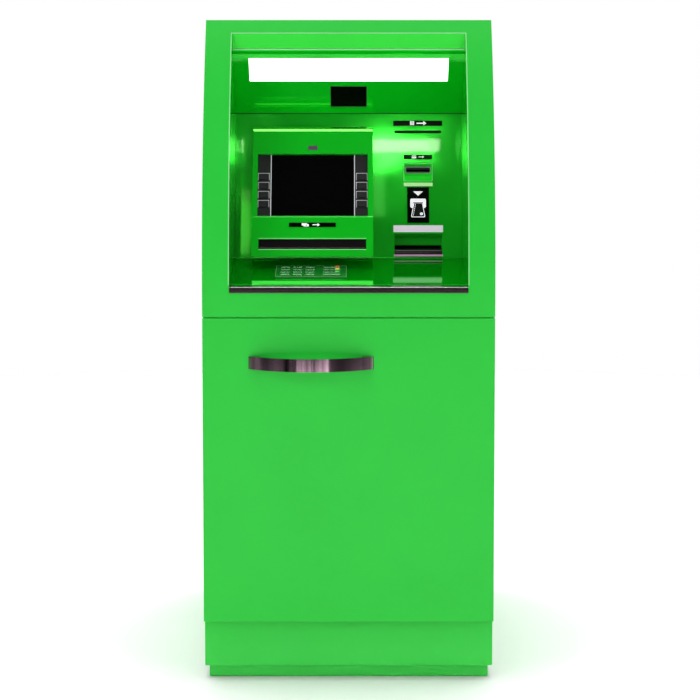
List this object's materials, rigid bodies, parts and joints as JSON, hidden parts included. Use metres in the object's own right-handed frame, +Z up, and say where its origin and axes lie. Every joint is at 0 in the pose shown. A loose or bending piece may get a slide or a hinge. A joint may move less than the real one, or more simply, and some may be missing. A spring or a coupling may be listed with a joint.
{
  "type": "atm machine",
  "caption": "Free-standing cash machine with a leaning hood around a recessed screen console, keypad, card and paper side, over a safe behind a handled service door.",
  "frame": {"origin": "centre of the bounding box at floor level", "axes": "+Z up, -Y out of the front towards the customer, +X to the right as seen from the front"},
  "size_m": [0.64, 0.912, 1.466],
  "materials": {
    "green_paint": "satin powder coat",
    "recess_paint": "high gloss",
    "dark_frame": "matt",
    "bare_steel": "brushed",
    "dark_chrome": "smoked chrome",
    "black_plastic": "fine grain",
    "black_gloss": "polished",
    "light_diffuser": "milky diffuser",
    "pad_steel": "brushed",
    "key_steel": "brushed",
    "key_black": "polished"
  },
  "bodies": {
    "cabinet": {"base_frame": "green_paint", "plinth_skirt": "green_paint", "cabinet_frame": "dark_frame", "side_panels": "green_paint", "top_cover": "green_paint", "rear_cover": "green_paint", "safe_shell": "dark_frame", "safe_door": "dark_frame", "note_dispenser": "bare_steel", "cash_cassettes": "black_plastic", "computer": "dark_frame", "power_inlet": "black_plastic", "hinge_pins": "bare_steel"},
    "service_door": {"door_skin": "green_paint", "door_stiffener": "dark_frame", "door_handle": "dark_chrome"},
    "hood": {"hood_shell": "green_paint", "header_panel": "recess_paint", "back_wall": "recess_paint", "liner_sides": "recess_paint", "shelf": "recess_paint", "sill_trim": "dark_chrome", "header_light": "light_diffuser", "camera_window": "black_gloss", "monitor_housing": "recess_paint", "display_unit": "black_gloss", "cash_chute": "bare_steel", "card_bezel": "recess_paint", "card_reader": "black_plastic", "receipt_printer": "dark_frame", "pin_pad_frame": "pad_steel", "label_plates": "black_gloss"},
    "safe_lever_body": {"safe_lever": "bare_steel"},
    "safe_bolts_body": {"safe_bolts": "bare_steel"},
    "cash_shutter_body": {"cash_shutter": "dark_chrome"},
    "exit_roller_body": {"exit_roller": "dark_chrome"},
    "screen_key_left_1_body": {"screen_key_left_1": "key_black"},
    "screen_key_left_2_body": {"screen_key_left_2": "key_black"},
    "screen_key_left_3_body": {"screen_key_left_3": "key_black"},
    "screen_key_left_4_body": {"screen_key_left_4": "key_black"},
    "screen_key_right_1_body": {"screen_key_right_1": "key_black"},
    "screen_key_right_2_body": {"screen_key_right_2": "key_black"},
    "screen_key_right_3_body": {"screen_key_right_3": "key_black"},
    "screen_key_right_4_body": {"screen_key_right_4": "key_black"},
    "pin_key_1_body": {"pin_key_1": "key_steel"},
    "pin_key_2_body": {"pin_key_2": "key_steel"},
    "pin_key_3_body": {"pin_key_3": "key_steel"},
    "pin_key_cancel_body": {"pin_key_cancel": "key_steel"},
    "pin_key_4_body": {"pin_key_4": "key_steel"},
    "pin_key_5_body": {"pin_key_5": "key_steel"},
    "pin_key_6_body": {"pin_key_6": "key_steel"},
    "pin_key_clear_body": {"pin_key_clear": "key_steel"},
    "pin_key_7_body": {"pin_key_7": "key_steel"},
    "pin_key_8_body": {"pin_key_8": "key_steel"},
    "pin_key_9_body": {"pin_key_9": "key_steel"},
    "pin_key_enter_body": {"pin_key_enter": "key_steel"},
    "pin_key_left_body": {"pin_key_left": "key_steel"},
    "pin_key_0_body": {"pin_key_0": "key_steel"},
    "pin_key_right_body": {"pin_key_right": "key_steel"},
    "pin_key_blank_body": {"pin_key_blank": "key_steel"}
  },
  "joints": [
    {"name": "door_swing", "type": "hinge", "parent": "cabinet", "child": "service_door", "pos_m": [0.3152, -0.369, 0.47], "axis": [0, 0, 1], "range_deg": [0, 100]},
    {"name": "hood_swing", "type": "hinge", "parent": "cabinet", "child": "hood", "pos_m": [0.3152, 0.042, 1.14], "axis": [0, 0, 1], "range_deg": [0, 95]},
    {"name": "cash_shutter_slide", "type": "slide", "parent": "hood", "child": "cash_shutter_body", "axis": [0, 0.3305, 0.9438], "range_m": [0, 0.027]},
    {"name": "exit_roller_spin", "type": "hinge", "parent": "hood", "child": "exit_roller_body", "pos_m": [0.16, -0.18573, 0.93876], "axis": [1, 0, 0], "continuous": true},
    {"name": "lever_turn", "type": "hinge", "parent": "cabinet", "child": "safe_lever_body", "pos_m": [-0.11, -0.309, 0.4], "axis": [0, 1, 0], "range_deg": [0, 90]},
    {"name": "safe_bolts_slide", "type": "slide", "parent": "cabinet", "child": "safe_bolts_body", "axis": [1, 0, 0], "range_m": [0, 0.018]},
    {"name": "screen_key_left_1_press", "type": "slide", "parent": "hood", "child": "screen_key_left_1_body", "axis": [0, 0.9438, -0.3305], "range_m": [0, 0.0018], "stiffness_N_per_m": 400, "springref_m": -0.0004},
    {"name": "screen_key_left_2_press", "type": "slide", "parent": "hood", "child": "screen_key_left_2_body", "axis": [0, 0.9438, -0.3305], "range_m": [0, 0.0018], "stiffness_N_per_m": 400, "springref_m": -0.0004},
    {"name": "screen_key_left_3_press", "type": "slide", "parent": "hood", "child": "screen_key_left_3_body", "axis": [0, 0.9438, -0.3305], "range_m": [0, 0.0018], "stiffness_N_per_m": 400, "springref_m": -0.0004},
    {"name": "screen_key_left_4_press", "type": "slide", "parent": "hood", "child": "screen_key_left_4_body", "axis": [0, 0.9438, -0.3305], "range_m": [0, 0.0018], "stiffness_N_per_m": 400, "springref_m": -0.0004},
    {"name": "screen_key_right_1_press", "type": "slide", "parent": "hood", "child": "screen_key_right_1_body", "axis": [0, 0.9438, -0.3305], "range_m": [0, 0.0018], "stiffness_N_per_m": 400, "springref_m": -0.0004},
    {"name": "screen_key_right_2_press", "type": "slide", "parent": "hood", "child": "screen_key_right_2_body", "axis": [0, 0.9438, -0.3305], "range_m": [0, 0.0018], "stiffness_N_per_m": 400, "springref_m": -0.0004},
    {"name": "screen_key_right_3_press", "type": "slide", "parent": "hood", "child": "screen_key_right_3_body", "axis": [0, 0.9438, -0.3305], "range_m": [0, 0.0018], "stiffness_N_per_m": 400, "springref_m": -0.0004},
    {"name": "screen_key_right_4_press", "type": "slide", "parent": "hood", "child": "screen_key_right_4_body", "axis": [0, 0.9438, -0.3305], "range_m": [0, 0.0018], "stiffness_N_per_m": 400, "springref_m": -0.0004},
    {"name": "pin_key_1_press", "type": "slide", "parent": "hood", "child": "pin_key_1_body", "axis": [0, 0.2605, -0.9655], "range_m": [0, 0.002], "stiffness_N_per_m": 500, "springref_m": -0.001},
    {"name": "pin_key_2_press", "type": "slide", "parent": "hood", "child": "pin_key_2_body", "axis": [0, 0.2605, -0.9655], "range_m": [0, 0.002], "stiffness_N_per_m": 500, "springref_m": -0.001},
    {"name": "pin_key_3_press", "type": "slide", "parent": "hood", "child": "pin_key_3_body", "axis": [0, 0.2605, -0.9655], "range_m": [0, 0.002], "stiffness_N_per_m": 500, "springref_m": -0.001},
    {"name": "pin_key_cancel_press", "type": "slide", "parent": "hood", "child": "pin_key_cancel_body", "axis": [0, 0.2605, -0.9655], "range_m": [0, 0.002], "stiffness_N_per_m": 500, "springref_m": -0.001},
    {"name": "pin_key_4_press", "type": "slide", "parent": "hood", "child": "pin_key_4_body", "axis": [0, 0.2605, -0.9655], "range_m": [0, 0.002], "stiffness_N_per_m": 500, "springref_m": -0.001},
    {"name": "pin_key_5_press", "type": "slide", "parent": "hood", "child": "pin_key_5_body", "axis": [0, 0.2605, -0.9655], "range_m": [0, 0.002], "stiffness_N_per_m": 500, "springref_m": -0.001},
    {"name": "pin_key_6_press", "type": "slide", "parent": "hood", "child": "pin_key_6_body", "axis": [0, 0.2605, -0.9655], "range_m": [0, 0.002], "stiffness_N_per_m": 500, "springref_m": -0.001},
    {"name": "pin_key_clear_press", "type": "slide", "parent": "hood", "child": "pin_key_clear_body", "axis": [0, 0.2605, -0.9655], "range_m": [0, 0.002], "stiffness_N_per_m": 500, "springref_m": -0.001},
    {"name": "pin_key_7_press", "type": "slide", "parent": "hood", "child": "pin_key_7_body", "axis": [0, 0.2605, -0.9655], "range_m": [0, 0.002], "stiffness_N_per_m": 500, "springref_m": -0.001},
    {"name": "pin_key_8_press", "type": "slide", "parent": "hood", "child": "pin_key_8_body", "axis": [0, 0.2605, -0.9655], "range_m": [0, 0.002], "stiffness_N_per_m": 500, "springref_m": -0.001},
    {"name": "pin_key_9_press", "type": "slide", "parent": "hood", "child": "pin_key_9_body", "axis": [0, 0.2605, -0.9655], "range_m": [0, 0.002], "stiffness_N_per_m": 500, "springref_m": -0.001},
    {"name": "pin_key_enter_press", "type": "slide", "parent": "hood", "child": "pin_key_enter_body", "axis": [0, 0.2605, -0.9655], "range_m": [0, 0.002], "stiffness_N_per_m": 500, "springref_m": -0.001},
    {"name": "pin_key_left_press", "type": "slide", "parent": "hood", "child": "pin_key_left_body", "axis": [0, 0.2605, -0.9655], "range_m": [0, 0.002], "stiffness_N_per_m": 500, "springref_m": -0.001},
    {"name": "pin_key_0_press", "type": "slide", "parent": "hood", "child": "pin_key_0_body", "axis": [0, 0.2605, -0.9655], "range_m": [0, 0.002], "stiffness_N_per_m": 500, "springref_m": -0.001},
    {"name": "pin_key_right_press", "type": "slide", "parent": "hood", "child": "pin_key_right_body", "axis": [0, 0.2605, -0.9655], "range_m": [0, 0.002], "stiffness_N_per_m": 500, "springref_m": -0.001},
    {"name": "pin_key_blank_press", "type": "slide", "parent": "hood", "child": "pin_key_blank_body", "axis": [0, 0.2605, -0.9655], "range_m": [0, 0.002], "stiffness_N_per_m": 500, "springref_m": -0.001}
  ],
  "couplings": [
    {"joint": "safe_bolts_slide", "follows": "lever_turn", "m_per_rad": 0.01145}
  ]
}
